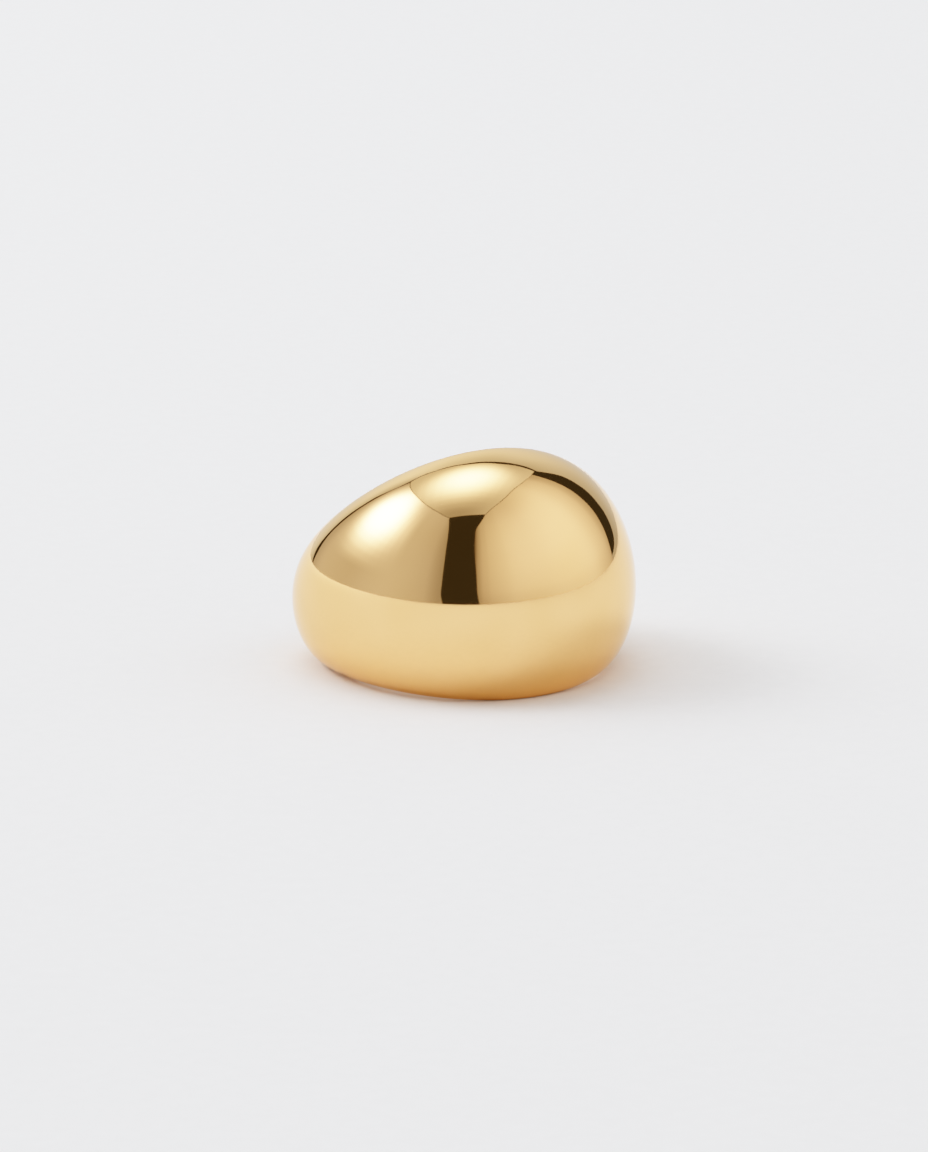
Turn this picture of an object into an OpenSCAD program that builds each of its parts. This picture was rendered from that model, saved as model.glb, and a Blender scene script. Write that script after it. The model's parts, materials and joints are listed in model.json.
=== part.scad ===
// A dome ring: one polished piece of metal round a plain finger hole, with a high, wide crown
// that narrows and thins smoothly to a slim shank. It lies on its side, as it would by itself,
// on the rims of its crown and its shank. +Z is up, the crown faces -Y, and the origin is at the
// middle of the underside of the ring's box. Places round the ring are angles from the crown.

/* [Finger hole] */
// Diameter of the finger hole
finger_d = 17.3; // [15.7:0.1:20.6]
// Bevel between the finger hole and the rims beside it
bevel = 0.15; // [0.05:0.05:0.2]
// Flat rim beside the finger hole, from the hole to where the rounding starts
rim = 0.25; // [0.25:0.05:0.5]

/* [Width along the finger] */
// Width at the crown
crown_w = 16.8; // [14:0.1:18]
// Width at the shoulders, an eighth of a turn from the crown
shoulder_w = 14.6; // [12:0.1:15]
// Width at the sides, a quarter turn from the crown
side_w = 9.9; // [8:0.1:10.5]
// Width at the back of the shank
shank_w = 3.5; // [3:0.1:5]

/* [Thickness from the finger hole outwards] */
// Thickness at the crown
crown_t = 4.8; // [3.5:0.1:6]
// Thickness at the shoulders
shoulder_t = 3.8; // [3:0.1:4.5]
// Thickness at the sides
side_t = 2.95; // [2:0.05:3.5]
// Thickness at the back of the shank
shank_t = 1.5; // [1.3:0.1:2]

/* [Roundness of the section] */
// Fullness at the crown: 1 is nearly a parabola, 2 an ellipse, more is squarer
crown_fullness = 1.35; // [1.2:0.05:2]
// Fullness at the sides
side_fullness = 1.9; // [1.4:0.05:2.2]
// Fullness at the back of the shank
shank_fullness = 2.45; // [1.8:0.05:3]

/* [Smoothness] */
// Sections round the ring
sections = 96; // [48:4:120]
// Steps across the outside of each section
steps = 28; // [16:2:36]

/* [Hidden] */

finger_r = finger_d / 2;
shoulder_angle = 45;
// How far the blank reaches into the finger hole, where the hole then cuts it away
blank_inset = 0.5;
// How far the finger hole's cutter stands out past the blank on each side
cutter_over = 1;
// Halvings of the range of angles in which the ring's resting lean is looked for
lean_halvings = 16;
steepest_lean = 40;

// A smooth closed curve round the ring takes four values: at the crown, the shoulders, the sides
// and the back. These are the weights of its constant and its first three cosines.
function blend(crown, shoulder, side, back) =
    let (
        even = (crown + back) / 2,
        odd = (crown - back) / 2,
        constant = (even + side) / 2,
        tilt = (shoulder - constant) / cos(shoulder_angle)
    )
    [constant, (odd + tilt) / 2, (even - side) / 2, (odd - tilt) / 2];

function round_the_ring(weights, angle) =
    weights[0] + weights[1] * cos(angle) + weights[2] * cos(2 * angle) + weights[3] * cos(3 * angle);

width_curve = blend(crown_w, shoulder_w, side_w, shank_w);
thickness_curve = blend(crown_t, shoulder_t, side_t, shank_t);
middle_fullness = (crown_fullness + shank_fullness) / 2;
fullness_curve = [
    (middle_fullness + side_fullness) / 2,
    (crown_fullness - shank_fullness) / 2,
    (middle_fullness - side_fullness) / 2,
    0
];

// One section, from its lower to its upper inside edge, as pairs of distance from the finger
// hole's axis and height along it
function section(angle) =
    let (
        half_w = round_the_ring(width_curve, angle) / 2,
        rise = round_the_ring(thickness_curve, angle) - rim,
        power = 2 / round_the_ring(fullness_curve, angle),
        inside = [finger_r - blank_inset, half_w - bevel - blank_inset],
        edge = [finger_r + bevel, half_w],
        outside = [
            for (i = [0 : steps])
                let (turn = -90 + 180 * i / steps)
                [finger_r + rim + rise * pow(max(cos(turn), 0), power), half_w * sin(turn)]
        ]
    )
    concat([mirrored(inside), mirrored(edge)], outside, [edge, inside]);

function mirrored(p) = [p[0], -p[1]];

// A section's point, stood at its angle round the ring. The crown is at -Y.
function placed(p, angle) = [p[0] * sin(angle), -p[0] * cos(angle), p[1]];

section_points = steps + 5;
ring_points = [
    for (k = [0 : sections - 1])
        let (angle = 360 * k / sections)
        for (p = section(angle)) placed(p, angle)
];

// Four-sided facets between each section and the next, split along one diagonal
ring_faces = [
    for (k = [0 : sections - 1], i = [0 : section_points - 1])
        let (
            here = k * section_points,
            next = ((k + 1) % sections) * section_points,
            j = (i + 1) % section_points
        )
        for (face = [[here + i, next + j, here + j], [here + i, next + i, next + j]]) face
];

// The ring leans back about X until the rims of its crown and of its shank are both on the ground
function laid(p, lean) = [p[0], p[1] * cos(lean) + p[2] * sin(lean), p[2] * cos(lean) - p[1] * sin(lean)];
function lowest(points, lean) = min([for (p = points) laid(p, lean)[2]]);

crown_half = [for (p = ring_points) if (p[1] < 0 && p[2] < 0) p];
shank_half = [for (p = ring_points) if (p[1] > 0 && p[2] < 0) p];

function resting_lean(least, most, halvings) =
    let (middle = (least + most) / 2)
    halvings == 0 ? middle :
    lowest(crown_half, middle) < lowest(shank_half, middle)
        ? resting_lean(middle, most, halvings - 1)
        : resting_lean(least, middle, halvings - 1);

lean = resting_lean(0, steepest_lean, lean_halvings);
laid_points = [for (p = ring_points) laid(p, lean)];
front_y = min([for (p = laid_points) p[1]]);
back_y = max([for (p = laid_points) p[1]]);
ground_z = lowest(ring_points, lean);

module blank() {
    polyhedron(points = ring_points, faces = ring_faces, convexity = 6);
}

module finger_hole() {
    cylinder(r = finger_r, h = crown_w + 2 * cutter_over, center = true, $fn = 180);
}

module ring() {
    color("goldenrod")
        translate([0, -(front_y + back_y) / 2, -ground_z])
            rotate([-lean, 0, 0])
                difference() {
                    blank();
                    finger_hole();
                }
}

ring();
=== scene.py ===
import json
import math

import bpy
import numpy as np
from mathutils import Matrix, Vector


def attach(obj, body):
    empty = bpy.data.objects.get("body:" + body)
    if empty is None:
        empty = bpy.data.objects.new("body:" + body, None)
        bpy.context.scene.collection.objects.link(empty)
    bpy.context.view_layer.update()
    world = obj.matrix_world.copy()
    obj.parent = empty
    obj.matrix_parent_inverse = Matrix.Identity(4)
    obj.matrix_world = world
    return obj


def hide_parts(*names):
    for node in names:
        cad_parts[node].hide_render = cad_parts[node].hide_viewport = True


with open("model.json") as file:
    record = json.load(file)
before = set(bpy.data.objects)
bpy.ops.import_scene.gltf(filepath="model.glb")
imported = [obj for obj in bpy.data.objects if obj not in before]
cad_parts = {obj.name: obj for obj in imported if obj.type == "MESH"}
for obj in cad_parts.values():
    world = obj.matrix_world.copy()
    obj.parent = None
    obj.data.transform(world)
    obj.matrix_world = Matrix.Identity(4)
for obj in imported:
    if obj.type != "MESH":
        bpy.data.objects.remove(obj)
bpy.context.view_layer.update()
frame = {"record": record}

MM = 0.001

# Ring sizes in mm, the same as the CAD part's. Curves take their values at the crown, shoulder, side
# and back.
WIDTH = (16.8, 14.6, 9.9, 3.5)
THICKNESS = (4.8, 3.8, 2.95, 1.5)
FULLNESS = {"crown": 1.35, "side": 1.9, "shank": 2.45}
SHOULDER_ANGLE = math.radians(45)
RIM = 0.25
INNER_EDGE_RADIUS = 0.15
RING_SECTIONS = 384
OUTSIDE_STEPS = 112
EDGE_STEPS = 8
# How far in from its rounded edges the finger hole's wall has lines of points
BORE_INSETS = (0.05, 0.2, 0.6)

# Camera, as fitted to the photo's outline
CAMERA_AZIMUTH = -22.2
CAMERA_ELEVATION = 14.61
CAMERA_DISTANCE = 450 * MM
LOOK_HEIGHT = 8.0 * MM
AIM_RIGHT = 0.254 * MM
AIM_UP = -2.228 * MM
SENSOR_LONG_SIDE = 36
LENS = 207.8
CAMERA_NEAR_LIMIT = 10 * MM
CAMERA_FAR_LIMIT = 10.0

# The polish: slow waves that the buffing wheel pressed in, and fine marks that run round the ring
WHEEL_WAVE = 4 * MM
WHEEL_WAVE_HEIGHT = 0.0015 * MM
WHEEL_WAVE_DETAIL = 1.0
POLISH_MARK = 0.55 * MM
POLISH_MARK_HEIGHT = 0.00003 * MM
POLISH_MARK_DETAIL = 4.0
POLISH_MARK_STRETCH = 14
GOLD_COLOURS = ("#FACC93", "#FED098")
OUTSIDE_ROUGHNESS = (0.035, 0.055)
INSIDE_ROUGHNESS = (0.14, 0.2)
# How far out from the finger hole's wall the inside's finish ends, in mm
INSIDE_FINISH_END = (0.02, 0.12)
# Most of a noise pattern lies between these two
NOISE_LOW = 0.3
NOISE_HIGH = 0.7
# The polish seen edge on stays a little yellow, as brass does
EDGE_COLOUR = "#FBFAF6"

# Light tent: glowing panels on a dome round the ring, with dark gaps between them
TENT_RADIUS = 1200 * MM
PANEL_STEPS = 72
FOOT_STEPS = 12

# A dark drape hangs round the tent. Its dome starts a little below the floor, in degrees of elevation.
DRAPE_RADIUS = 1300 * MM
DRAPE_STEPS = 32
DRAPE_FOOT = -2
DRAPE_COLOUR = "#54585A"

# The board that the ring lies on, and the pale sky past its rim
FLOOR_RADIUS = 3.0
FLOOR_SIDES = 96
FLOOR_ROUGHNESS = 0.9
FLOOR_COLOUR = "#F7F5F3"
FLOOR_GRAIN = "#F5F3F1"
FLOOR_GRAIN_SIZE = 1.1 * MM
FLOOR_GRAIN_DETAIL = 2.0
SKY_COLOUR = "#FFFFFF"
SKY_STRENGTH = 1.094

# The key lamp: its azimuth and elevation from the ring, then metres and watts
KEY_DIRECTION = (-122, 36)
KEY_DISTANCE = 0.9
KEY_SIZE = 0.4
KEY_POWER = 0.95
KEY_COLOUR = "#FFFFFF"

# How film shows light: the lights at which its toe and its shoulder bend, and how sharply they do. The
# curve is worked out in steps, for lights up to its range.
FILM_TOE = 0.096
FILM_TOE_BEND = 1.58
FILM_SHOULDER = 0.64
FILM_SHOULDER_BEND = 1.18
FILM_RANGE = 2.5
FILM_STEPS = 18

# Directions from the ring, in degrees: azimuth from the camera towards the camera's right, and
# elevation. Near, far, left and right are the camera's too. Edges run upwards, or from left to right as
# seen from outside the tent. Panels stand on the floor, so their feet reach just below it.
PANEL_FOOT = -0.3
LEFT_NEAR_EDGE = (
    (-23.7, PANEL_FOOT),
    (-25.4, 6.5),
    (-25.4, 12.0),
    (-26.4, 33.8),
    (-30.0, 51.0),
    (-35.2, 59.3),
)
LEFT_FAR_EDGE = (
    (-130.8, PANEL_FOOT),
    (-132.9, 11.0),
    (-131.5, 20.0),
    (-129.5, 41.0),
    (-130.2, 47.0),
    (-131.3, 49.0),
)
RIGHT_NEAR_EDGE = (
    (2.0, PANEL_FOOT),
    (0.5, 7.2),
    (-0.3, 18.6),
    (-1.9, 46.0),
    (-0.6, 53.3),
    (7.5, 60.6),
    (14.4, 65.0),
)
RIGHT_FAR_EDGE = (
    (124.8, PANEL_FOOT),
    (126.1, 4.0),
    (128.5, 10.4),
    (130.0, 17.0),
    (130.3, 26.0),
    (130.9, 48.0),
    (132.1, 52.4),
)
BACK_RIGHT_EDGE = (
    (124.9, PANEL_FOOT),
    (125.3, 1.1),
    (128.5, 1.5),
    (138.6, 4.5),
    (141.0, 9.0),
    (141.2, 12.0),
    (141.8, 16.0),
    (141.4, 23.0),
    (140.9, 31.0),
    (138.7, 41.0),
    (138.0, 47.0),
)
BACK_LEFT_EDGE = (
    (227.9, PANEL_FOOT),
    (223.7, 4.0),
    (224.1, 11.0),
    (225.4, 20.0),
    (227.2, 27.0),
    (227.4, 31.0),
    (229.0, 37.0),
    (228.8, 45.5),
    (226.8, 48.0),
)
BACK_TOP_EDGE = (
    BACK_RIGHT_EDGE[-1],
    (143.5, 50.2),
    (150.3, 54.3),
    (167.1, 60.1),
    (177.4, 61.3),
    (187.7, 61.8),
    (206.0, 57.9),
    (213.9, 55.2),
    (218.4, 52.2),
    BACK_LEFT_EDGE[-1],
)
ROOF_BACK_EDGE = (
    (137.6, 48.9),
    (147.3, 55.6),
    (155.5, 60.0),
    (177.0, 63.3),
    (188.4, 63.5),
    (199.0, 61.2),
    (215.2, 55.6),
    (223.7, 50.6),
    (228.4, 49.2),
)
# The side panels end along these two seams, from their near corners to their far ones. The roof starts
# a little above them.
SEAM_GAP = 0.3
LEFT_SEAM = (
    LEFT_NEAR_EDGE[-1],
    (-41.8, 59.5),
    (-49.9, 60.0),
    (-69.8, 59.8),
    (-94.9, 57.7),
    (-127.0, 50.3),
    LEFT_FAR_EDGE[-1],
)
RIGHT_SEAM = (
    RIGHT_NEAR_EDGE[-1],
    (73.0, 70.6),
    (93.9, 68.6),
    (118.9, 60.4),
    RIGHT_FAR_EDGE[-1],
)
# The roof's near edge runs through this direction, between the near ends of the two seams
ROOF_NEAR_MIDDLE = (4.0, 65.4)

# The azimuth at which each panel stands. The places of its light across are counted from there.
LEFT_BEARING = -79
RIGHT_BEARING = 65
BACK_BEARING = 184
ROOF_BEARING = 0

# Each panel's cloth has a tint, and a strength for the light that is given across and up
LEFT_TINT = "#F5F8FF"
RIGHT_TINT = "#FFFDFE"
BACK_TINT = "#EEF6FF"
ROOF_TINT = "#F7FBFF"
LEFT_STRENGTH = 7.6
RIGHT_STRENGTH = 1.295
BACK_STRENGTH = 1.235
ROOF_STRENGTH = 3.35

# The panels' light. The right and back cloths are lit broadly, by two short tables multiplied: across,
# and up. The left cloth and the roof have a dim ground, which is a table across, and a bright patch that
# fades like a bell: its middle, and its reach before and after it. Places across are degrees from the
# panel's bearing, and places up are degrees of elevation. The roof's run over its plan, as shares of its
# height.
LEFT_GROUND = ((-52, 0.56), (-40, 0.73), (-10, 0.7), (16, 0.77), (42, 0.64), (52, 0.45))
LEFT_BELL_ACROSS = (-18, 10.8, 13)
LEFT_BELL_UP = (41, 10.2, 10.2)
RIGHT_ACROSS = (
    (-67, 0.17),
    (-65, 0.32),
    (-61, 0.48),
    (-55, 0.59),
    (-37, 0.77),
    (-5, 0.9),
    (28, 1.0),
    (43, 0.9),
    (57, 0.67),
    (64, 0.46),
)
RIGHT_UP = ((0, 0.77), (8, 0.88), (20, 0.97), (40, 1.0), (57, 0.88), (71, 0.66))
BACK_ACROSS = ((-44, 0.57), (-30, 0.76), (-10, 0.9), (16, 1.0), (34, 0.93), (44, 0.6))
BACK_UP = ((0, 0.81), (12, 0.84), (36, 1.0), (50, 0.88), (64, 0.65))
ROOF_GROUND = ((-0.63, 0.76), (-0.23, 0.5), (0.17, 0.58), (0.57, 0.93))
ROOF_BELL_ACROSS = (-0.1, 0.25, 0.205)
ROOF_BELL_AWAY = (0.15, 0.185, 0.17)
# The roof's places across are counted from a line that goes to the right by this share as it goes away
ROOF_SLANT = 0.3
# A bell's steps on each side of its middle, and the reaches after which it has faded to nothing
BELL_STEPS = 7
BELL_END = 3


def linear(hex_colour):
    """A linear RGBA colour from an sRGB hex one."""
    parts = [int(hex_colour[i : i + 2], 16) / 255 for i in (1, 3, 5)]
    return (*[p / 12.92 if p <= 0.04045 else ((p + 0.055) / 1.055) ** 2.4 for p in parts], 1.0)


def add_node(tree, kind, inputs=(), stops=(), **settings):
    """One shader node. An input's value is a number, a colour or the socket that it comes from."""
    node = tree.nodes.new("ShaderNode" + kind)
    for name, value in settings.items():
        setattr(node, name, value)
    for name, value in dict(inputs).items():
        if isinstance(value, bpy.types.NodeSocket):
            tree.links.new(value, node.inputs[name])
        else:
            node.inputs[name].default_value = value
    for number, (place, colour) in enumerate(stops):
        ramp = node.color_ramp.elements
        stop = ramp[number] if number < len(ramp) else ramp.new(place)
        stop.position = place
        stop.color = linear(colour) if isinstance(colour, str) else (colour, colour, colour, 1.0)
    return node


def new_material(name):
    """An empty material, as its node tree and its output node."""
    material = bpy.data.materials.new(name)
    material.use_nodes = True
    material.node_tree.nodes.clear()
    output = material.node_tree.nodes.new("ShaderNodeOutputMaterial")
    return material, material.node_tree, output


def axis_distance(tree, where):
    """How far a place is from its frame's Z axis."""
    flat = add_node(tree, "VectorMath", {0: where, 1: (1.0, 1.0, 0.0)}, operation="MULTIPLY")
    return add_node(tree, "VectorMath", {0: flat.outputs[0]}, operation="LENGTH").outputs["Value"]


def new_object(name, points, faces, smooth):
    mesh = bpy.data.meshes.new(name)
    mesh.from_pydata(points, [], faces)
    mesh.polygons.foreach_set("use_smooth", [smooth] * len(mesh.polygons))
    mesh.update()
    made = bpy.data.objects.new(name, mesh)
    bpy.context.scene.collection.objects.link(made)
    return made


# The ring's shape


def round_the_ring(values, angle):
    """The smooth closed curve through values at the crown, shoulder, side and back."""
    crown, shoulder, side, back = values
    even = (crown + back) / 2
    odd = (crown - back) / 2
    constant = (even + side) / 2
    tilt = (shoulder - constant) / math.cos(SHOULDER_ANGLE)
    weights = (constant, (odd + tilt) / 2, (even - side) / 2, (odd - tilt) / 2)
    return sum(w * math.cos(n * angle) for n, w in enumerate(weights))


def fullness_at(angle):
    middle = (FULLNESS["crown"] + FULLNESS["shank"]) / 2
    swing = (FULLNESS["crown"] - FULLNESS["shank"]) / 2
    constant = (middle + FULLNESS["side"]) / 2
    return constant + swing * math.cos(angle) + (middle - FULLNESS["side"]) / 2 * math.cos(2 * angle)


def section(angle, bore_radius):
    """One closed section in mm, as pairs of distance from the finger hole's axis and height along it."""
    half_width = round_the_ring(WIDTH, angle) / 2
    rise = round_the_ring(THICKNESS, angle) - RIM
    power = 2 / fullness_at(angle)
    outside = []
    for step in range(OUTSIDE_STEPS + 1):
        turn = math.pi * (step / OUTSIDE_STEPS - 0.5)
        distance = bore_radius + RIM + rise * max(math.cos(turn), 0) ** power
        outside.append((distance, half_width * math.sin(turn)))
    edge = []
    for step in range(EDGE_STEPS + 1):
        turn = math.pi / 2 * step / EDGE_STEPS
        distance = bore_radius + INNER_EDGE_RADIUS * (1 - math.sin(turn))
        edge.append((distance, half_width - INNER_EDGE_RADIUS * (1 - math.cos(turn))))
    edge_end = half_width - INNER_EDGE_RADIUS
    bore = [(bore_radius, edge_end - inset) for inset in BORE_INSETS]
    upper = edge + bore
    lower = [(distance, -height) for distance, height in reversed(upper)]
    return outside + upper + lower


def ring_frame(record):
    """The matrix from the ring's own frame to the part's frame, and the finger hole's radius in mm. The
    finger hole's axis is the ring's Z."""
    hole = next(m for m in record["mounts"] if m["name"] == "finger_hole")
    axis = Vector(hole["axis"]).normalized()
    lean = math.atan2(axis.y, axis.z)
    place = Matrix.Translation(Vector(hole["pos_m"])) @ Matrix.Rotation(-lean, 4, "X")
    return place, hole["dims"]["r_mm"]


def build_ring(record):
    place, bore_radius = ring_frame(record)
    points = []
    for number in range(RING_SECTIONS):
        angle = 2 * math.pi * number / RING_SECTIONS
        for distance, height in section(angle, bore_radius):
            local = Vector((distance * math.sin(angle), -distance * math.cos(angle), height)) * MM
            points.append(place @ local)
    per_section = len(points) // RING_SECTIONS
    faces = []
    for number in range(RING_SECTIONS):
        here = number * per_section
        beyond = (number + 1) % RING_SECTIONS * per_section
        for i in range(per_section):
            j = (i + 1) % per_section
            faces.append((here + i, beyond + i, beyond + j, here + j))
    ring = new_object("dome_ring_polished", points, faces, smooth=True)
    ring.data.materials.append(polished_gold_plate(place, bore_radius))
    return ring


# Materials


def polished_gold_plate(place, bore_radius):
    """Polished gold plate over brass, buffed by hand: a warm yellow mirror, hardly blurred, whose
    reflections waver by a hair where the wheel pressed. Inside the finger hole it is finished less
    finely, so its reflections are softer there."""
    material, tree, output = new_material("polished_gold_plate")
    where = add_node(tree, "TexCoord").outputs["Object"]
    turned = place.inverted()
    local = add_node(
        tree,
        "Mapping",
        {"Vector": where, "Location": turned.to_translation(), "Rotation": turned.to_euler()},
        vector_type="POINT",
    ).outputs["Vector"]

    slow = add_node(
        tree, "TexNoise", {"Vector": local, "Scale": 1 / WHEEL_WAVE, "Detail": WHEEL_WAVE_DETAIL}
    ).outputs["Fac"]
    # The marks run round the ring, so the pattern is squeezed along the finger hole's axis
    squeezed = add_node(
        tree, "Mapping", {"Vector": local, "Scale": (1.0, 1.0, POLISH_MARK_STRETCH)}
    ).outputs["Vector"]
    fine = add_node(
        tree, "TexNoise", {"Vector": squeezed, "Scale": 1 / POLISH_MARK, "Detail": POLISH_MARK_DETAIL}
    ).outputs["Fac"]

    colour = add_node(
        tree,
        "ValToRGB",
        {"Fac": slow},
        stops=((NOISE_LOW, GOLD_COLOURS[0]), (NOISE_HIGH, GOLD_COLOURS[1])),
    ).outputs["Color"]

    # Distance from the finger hole's axis tells its wall from the outside
    inside = add_node(
        tree,
        "MapRange",
        {
            "Value": axis_distance(tree, local),
            "From Min": (bore_radius + INSIDE_FINISH_END[1]) * MM,
            "From Max": (bore_radius + INSIDE_FINISH_END[0]) * MM,
        },
    ).outputs["Result"]
    outside_roughness, inside_roughness = (
        add_node(
            tree,
            "MapRange",
            {
                "Value": fine,
                "From Min": NOISE_LOW,
                "From Max": NOISE_HIGH,
                "To Min": smoothest,
                "To Max": roughest,
            },
        ).outputs["Result"]
        for smoothest, roughest in (OUTSIDE_ROUGHNESS, INSIDE_ROUGHNESS)
    )
    roughness = add_node(
        tree, "Mix", {"Factor": inside, "A": outside_roughness, "B": inside_roughness}
    ).outputs["Result"]

    waver = add_node(
        tree, "Bump", {"Height": slow, "Strength": 1.0, "Distance": WHEEL_WAVE_HEIGHT}
    ).outputs["Normal"]
    marks = add_node(
        tree, "Bump", {"Height": fine, "Strength": 1.0, "Distance": POLISH_MARK_HEIGHT, "Normal": waver}
    ).outputs["Normal"]
    shader = add_node(
        tree,
        "BsdfPrincipled",
        {
            "Base Color": colour,
            "Metallic": 1.0,
            "Roughness": roughness,
            "Specular Tint": linear(EDGE_COLOUR),
            "Normal": marks,
        },
    )
    tree.links.new(shader.outputs["BSDF"], output.inputs["Surface"])
    return material


def matt_board():
    """Matt white board, painted and lightly sanded: an even pale grey, with no shine and the faintest
    grain."""
    material, tree, output = new_material("matt_white_board")
    where = add_node(tree, "TexCoord").outputs["Object"]
    grain = add_node(
        tree, "TexNoise", {"Vector": where, "Scale": 1 / FLOOR_GRAIN_SIZE, "Detail": FLOOR_GRAIN_DETAIL}
    ).outputs["Fac"]
    colour = add_node(
        tree, "ValToRGB", {"Fac": grain}, stops=((NOISE_LOW, FLOOR_GRAIN), (NOISE_HIGH, FLOOR_COLOUR))
    ).outputs["Color"]
    shader = add_node(
        tree,
        "BsdfPrincipled",
        {"Base Color": colour, "Roughness": FLOOR_ROUGHNESS, "Specular IOR Level": 0.0},
    )
    tree.links.new(shader.outputs["BSDF"], output.inputs["Surface"])
    return material


def dark_drape():
    """Dark grey cloth beyond the tent, unlit: what a mirror shows in the gaps between the panels."""
    material, tree, output = new_material("dark_drape_unlit")
    shader = add_node(tree, "Emission", {"Color": linear(DRAPE_COLOUR), "Strength": 1.0})
    tree.links.new(shader.outputs["Emission"], output.inputs["Surface"])
    return material


def ramp_over(tree, value, table):
    """A smooth brightness from 0 to 1 along a value, by a table of (value, brightness)."""
    first = table[0][0]
    last = table[-1][0]
    share = add_node(tree, "MapRange", {"Value": value, "From Min": first, "From Max": last})
    stops = [((place - first) / (last - first), level) for place, level in table]
    ramp = add_node(tree, "ValToRGB", {"Fac": share.outputs["Result"]}, stops=stops)
    ramp.color_ramp.interpolation = "CARDINAL"
    return ramp.outputs["Color"]


def bell(middle, before, after):
    """A table that is full at the middle and fades to nothing a few reaches before and after it."""
    table = []
    for step in range(-BELL_STEPS, BELL_STEPS + 1):
        reaches = BELL_END * step / BELL_STEPS
        place = middle + reaches * (before if step < 0 else after)
        level = math.exp(-reaches * reaches / 2) if abs(step) < BELL_STEPS else 0.0
        table.append((place, level))
    return table


def tent_cloth(name, measures, across, up, strength, tint, ground=None):
    """White tent cloth lit from outside: it glows softly, more where the lamps behind it are. measures
    gives the two sockets that the tables run over."""
    material, tree, output = new_material(name)
    first, second = measures(tree)
    patch = add_node(
        tree,
        "Math",
        {0: ramp_over(tree, first, across), 1: ramp_over(tree, second, up)},
        operation="MULTIPLY",
    ).outputs["Value"]
    dim = ramp_over(tree, first, ground) if ground else 0.0
    light = add_node(
        tree, "Math", {0: patch, 1: strength, 2: dim}, operation="MULTIPLY_ADD"
    ).outputs["Value"]
    shader = add_node(tree, "Emission", {"Color": linear(tint), "Strength": light})
    tree.links.new(shader.outputs["Emission"], output.inputs["Surface"])
    material.cycles.emission_sampling = "NONE"
    return material


def angles(tree):
    """Degrees across a panel from its bearing, and degrees of elevation, seen from the ring."""
    where = add_node(tree, "TexCoord").outputs["Object"]
    parts = add_node(tree, "SeparateXYZ", {"Vector": where}).outputs
    away = add_node(tree, "Math", {0: parts["Y"], 1: -1.0}, operation="MULTIPLY").outputs["Value"]
    across = add_node(tree, "Math", {0: parts["X"], 1: away}, operation="ARCTAN2").outputs["Value"]
    level = axis_distance(tree, where)
    up = add_node(tree, "Math", {0: parts["Z"], 1: level}, operation="ARCTAN2").outputs["Value"]
    return [
        add_node(tree, "Math", {0: angle}, operation="DEGREES").outputs["Value"]
        for angle in (across, up)
    ]


def plan(tree):
    """Places on the roof seen from above, as shares of its height: to the right, counted from a slanting
    line, and away from the camera."""
    where = add_node(tree, "TexCoord").outputs["Object"]
    parts = add_node(tree, "SeparateXYZ", {"Vector": where}).outputs
    right, away = (
        add_node(tree, "Math", {0: parts[side], 1: parts["Z"]}, operation="DIVIDE").outputs["Value"]
        for side in ("X", "Y")
    )
    slanted = add_node(tree, "Math", {0: away, 1: -ROOF_SLANT, 2: right}, operation="MULTIPLY_ADD")
    return slanted.outputs["Value"], away


# The tent


def direction(azimuth, elevation):
    """The unit vector in a direction given in degrees. Azimuth 0 is -Y, and 90 is +X."""
    a = math.radians(azimuth)
    e = math.radians(elevation)
    return np.array((math.sin(a) * math.cos(e), -math.cos(a) * math.cos(e), math.sin(e)))


def smooth_curve(places, values, wanted):
    """A smooth curve through rows of values at their places, read off where wanted."""
    slopes = np.gradient(values, places, axis=0)
    one = np.clip(np.searchsorted(places, wanted, side="right") - 1, 0, len(places) - 2)
    other = one + 1
    span = (places[other] - places[one])[:, None]
    t = (wanted - places[one])[:, None] / span
    rise = t * t * (3 - 2 * t)
    bend = slopes[one] * t * (1 - t) ** 2 - slopes[other] * t * t * (1 - t)
    return values[one] * (1 - rise) + values[other] * rise + bend * span


def along(edge, bearing):
    """Even steps along a smooth curve through an edge's directions, as points on a unit dome."""
    corners = np.array([direction(azimuth - bearing, elevation) for azimuth, elevation in edge])
    gaps = np.linalg.norm(np.diff(corners, axis=0), axis=1)
    places = np.concatenate([[0.0], np.cumsum(gaps)])
    return smooth_curve(places, corners, np.linspace(0, places[-1], PANEL_STEPS + 1))


def build_panel(name, bearing, lower, upper, left, right, material):
    """A curved cloth panel between four edges of directions. Seen from outside the tent, lower and upper
    run from left to right, and left and right run upwards."""
    low, high, one, other = (along(edge, bearing) for edge in (lower, upper, left, right))
    points = []
    for j in range(PANEL_STEPS + 1):
        t = j / PANEL_STEPS
        for i in range(PANEL_STEPS + 1):
            s = i / PANEL_STEPS
            ruled = (1 - t) * low[i] + t * high[i] + (1 - s) * one[j] + s * other[j]
            low_corners = (1 - s) * low[0] + s * low[-1]
            high_corners = (1 - s) * high[0] + s * high[-1]
            point = ruled - (1 - t) * low_corners - t * high_corners
            points.append(point / np.linalg.norm(point) * TENT_RADIUS)
    row = PANEL_STEPS + 1
    faces = [
        (j * row + i, j * row + i + 1, (j + 1) * row + i + 1, (j + 1) * row + i)
        for j in range(PANEL_STEPS)
        for i in range(PANEL_STEPS)
    ]
    panel = new_object(name, points, faces, smooth=True)
    panel.matrix_world = studio @ Matrix.Rotation(math.radians(bearing), 4, "Z")
    panel.data.materials.append(material)
    off_camera(panel)


def off_camera(thing):
    """The panels and drape light the floor and show in the ring's polish, and aren't seen directly."""
    thing.visible_camera = False


def foot_edge(left, right):
    """The lower edge of a panel that stands on the floor, between the feet of two edges."""
    start, end = left[0][0], right[0][0]
    return [(start + (end - start) * i / FOOT_STEPS, PANEL_FOOT) for i in range(FOOT_STEPS + 1)]


def above_seam(seam):
    """The roof's edge along a seam."""
    return [(azimuth, elevation + SEAM_GAP) for azimuth, elevation in seam]


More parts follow.
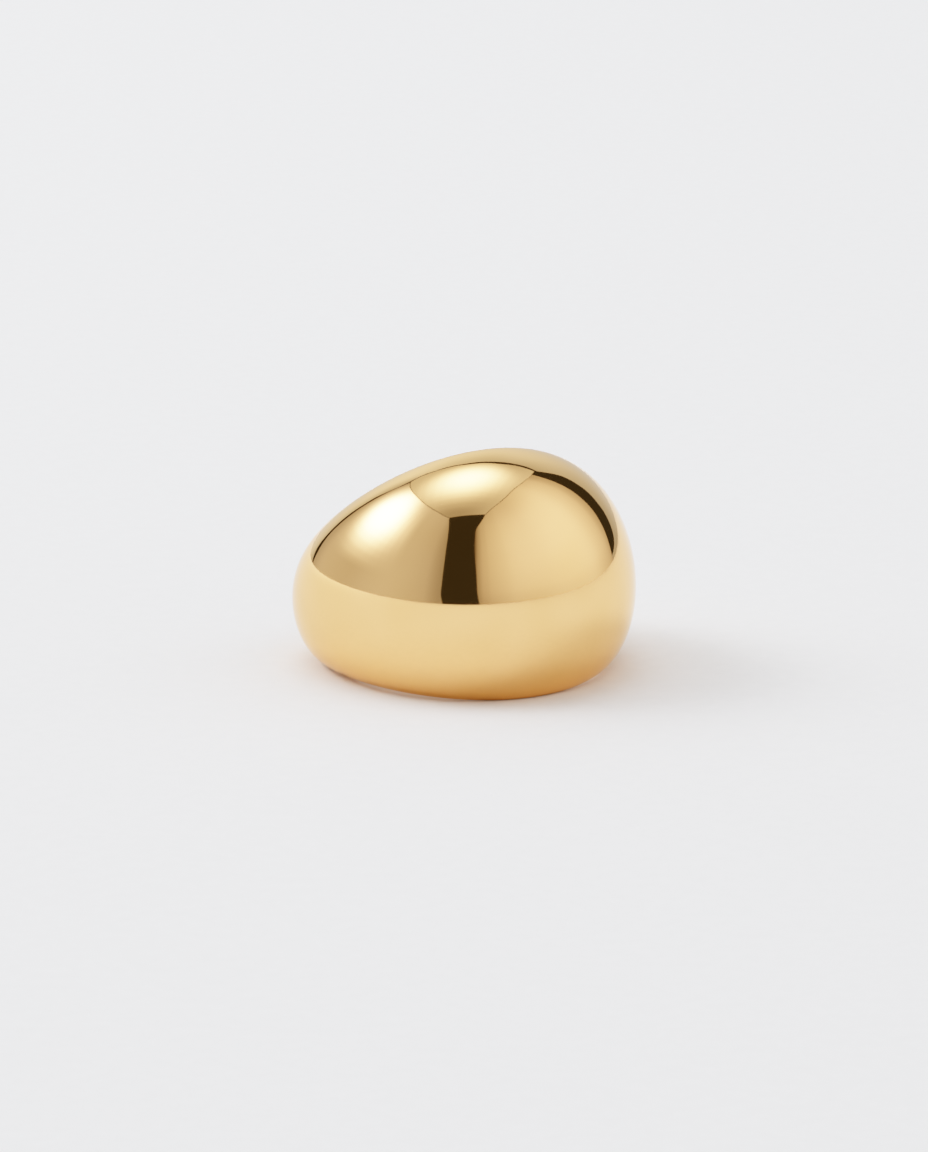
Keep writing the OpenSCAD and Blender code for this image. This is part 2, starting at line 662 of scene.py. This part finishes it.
def build_tent():
    across = bell(*LEFT_BELL_ACROSS)
    up = bell(*LEFT_BELL_UP)
    left = tent_cloth("tent_cloth_left", angles, across, up, LEFT_STRENGTH, LEFT_TINT, LEFT_GROUND)
    build_panel(
        "tent_left",
        LEFT_BEARING,
        foot_edge(LEFT_FAR_EDGE, LEFT_NEAR_EDGE),
        tuple(reversed(LEFT_SEAM)),
        LEFT_FAR_EDGE,
        LEFT_NEAR_EDGE,
        left,
    )
    right = tent_cloth("tent_cloth_right", angles, RIGHT_ACROSS, RIGHT_UP, RIGHT_STRENGTH, RIGHT_TINT)
    build_panel(
        "tent_right",
        RIGHT_BEARING,
        foot_edge(RIGHT_NEAR_EDGE, RIGHT_FAR_EDGE),
        RIGHT_SEAM,
        RIGHT_NEAR_EDGE,
        RIGHT_FAR_EDGE,
        right,
    )
    back = tent_cloth("tent_cloth_back", angles, BACK_ACROSS, BACK_UP, BACK_STRENGTH, BACK_TINT)
    build_panel(
        "tent_back",
        BACK_BEARING,
        foot_edge(BACK_RIGHT_EDGE, BACK_LEFT_EDGE),
        BACK_TOP_EDGE,
        BACK_RIGHT_EDGE,
        BACK_LEFT_EDGE,
        back,
    )
    across = bell(*ROOF_BELL_ACROSS)
    away = bell(*ROOF_BELL_AWAY)
    roof = tent_cloth("tent_cloth_roof", plan, across, away, ROOF_STRENGTH, ROOF_TINT, ROOF_GROUND)
    left_side = (*above_seam(LEFT_SEAM[:-1]), ROOF_BACK_EDGE[-1])
    right_side = (*above_seam(RIGHT_SEAM), ROOF_BACK_EDGE[0])
    build_panel(
        "tent_roof",
        ROOF_BEARING,
        (left_side[0], ROOF_NEAR_MIDDLE, right_side[0]),
        tuple(reversed(ROOF_BACK_EDGE)),
        left_side,
        right_side,
        roof,
    )


def build_drape():
    """A dome of cloth round the tent, from just below the floor to just past overhead."""
    steps = DRAPE_STEPS
    points = [
        direction(360 * i / steps, 90 * j / steps + DRAPE_FOOT) * DRAPE_RADIUS
        for j in range(steps + 2)
        for i in range(steps)
    ]
    faces = []
    for j in range(steps + 1):
        for i in range(steps):
            here = j * steps
            beside = (i + 1) % steps
            faces.append((here + i, here + beside, here + steps + beside, here + steps + i))
    drape = new_object("dark_drape", points, faces, smooth=True)
    drape.matrix_world = studio
    drape.data.materials.append(dark_drape())
    off_camera(drape)


def build_floor():
    turns = [2 * math.pi * i / FLOOR_SIDES for i in range(FLOOR_SIDES)]
    rim = [(FLOOR_RADIUS * math.cos(turn), FLOOR_RADIUS * math.sin(turn), 0) for turn in turns]
    floor = new_object("floor", rim, [tuple(range(FLOOR_SIDES))], smooth=False)
    floor.matrix_world = studio
    floor.data.materials.append(matt_board())


def build_sky():
    """What shows past the floor's rim in low views. The drape keeps its light off the floor."""
    world = bpy.data.worlds.new("pale_studio")
    world.use_nodes = True
    background = world.node_tree.nodes["Background"]
    background.inputs["Color"].default_value = linear(SKY_COLOUR)
    background.inputs["Strength"].default_value = SKY_STRENGTH
    bpy.context.scene.world = world


def build_key_lamp():
    """A soft lamp within the tent, on the left and a little behind. It lights the board, and the ring's
    polish doesn't show it."""
    data = bpy.data.lights.new("key_lamp", "AREA")
    data.shape = "DISK"
    data.size = KEY_SIZE
    data.energy = KEY_POWER
    data.color = linear(KEY_COLOUR)[:3]
    lamp = bpy.data.objects.new("key_lamp", data)
    towards = Vector(direction(*KEY_DIRECTION))
    turned = towards.to_track_quat("Z", "Y").to_matrix().to_4x4()
    lamp.matrix_world = studio @ Matrix.Translation(towards * KEY_DISTANCE) @ turned
    lamp.visible_camera = False
    lamp.visible_glossy = False
    bpy.context.scene.collection.objects.link(lamp)


def film(light):
    """How bright film shows a light: the darkest sink into its toe, and the brightest flatten out on its
    shoulder."""
    toe = 1 / (1 + (FILM_TOE / light) ** FILM_TOE_BEND)
    shoulder = 1 - math.exp(-((light / FILM_SHOULDER) ** FILM_SHOULDER_BEND))
    return toe * shoulder


def set_film():
    """The camera's response: a curve over scene light, and then the plain sRGB display."""
    settings = bpy.context.scene.view_settings
    settings.view_transform = "Standard"
    settings.look = "None"
    settings.use_curve_mapping = True
    mapping = settings.curve_mapping
    mapping.white_level = (FILM_RANGE, FILM_RANGE, FILM_RANGE)
    curve = mapping.curves[3]
    for step in range(1, FILM_STEPS):
        place = (step / FILM_STEPS) ** 2
        curve.points.new(place, film(place * FILM_RANGE))
    curve.points[-1].location = (1.0, film(FILM_RANGE))
    for point in curve.points:
        point.handle_type = "AUTO_CLAMPED"
    mapping.update()


def build_camera():
    data = bpy.data.cameras.new("camera")
    data.sensor_width = SENSOR_LONG_SIDE
    data.lens = LENS
    data.clip_start = CAMERA_NEAR_LIMIT
    data.clip_end = CAMERA_FAR_LIMIT
    camera = bpy.data.objects.new("camera", data)
    back = Vector(direction(CAMERA_AZIMUTH, CAMERA_ELEVATION))
    right = Vector(direction(CAMERA_AZIMUTH + 90, 0))
    up = back.cross(right)
    look = Vector((0, studio.translation.y, LOOK_HEIGHT))
    aim = look + right * AIM_RIGHT + up * AIM_UP
    camera.rotation_mode = "QUATERNION"
    camera.rotation_quaternion = back.to_track_quat("Z", "Y")
    camera.location = aim + back * CAMERA_DISTANCE
    bpy.context.scene.collection.objects.link(camera)
    bpy.context.scene.camera = camera


# The studio's frame lies under the middle of the finger hole and is turned to face the camera
hole_place, _ = ring_frame(frame["record"])
studio = Matrix.Translation((0, hole_place.translation.y, 0)) @ Matrix.Rotation(
    math.radians(CAMERA_AZIMUTH), 4, "Z"
)

ring = build_ring(frame["record"])
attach(ring, "root")
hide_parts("ring")

build_tent()
build_drape()
build_floor()
build_key_lamp()
build_sky()
build_camera()
set_film()
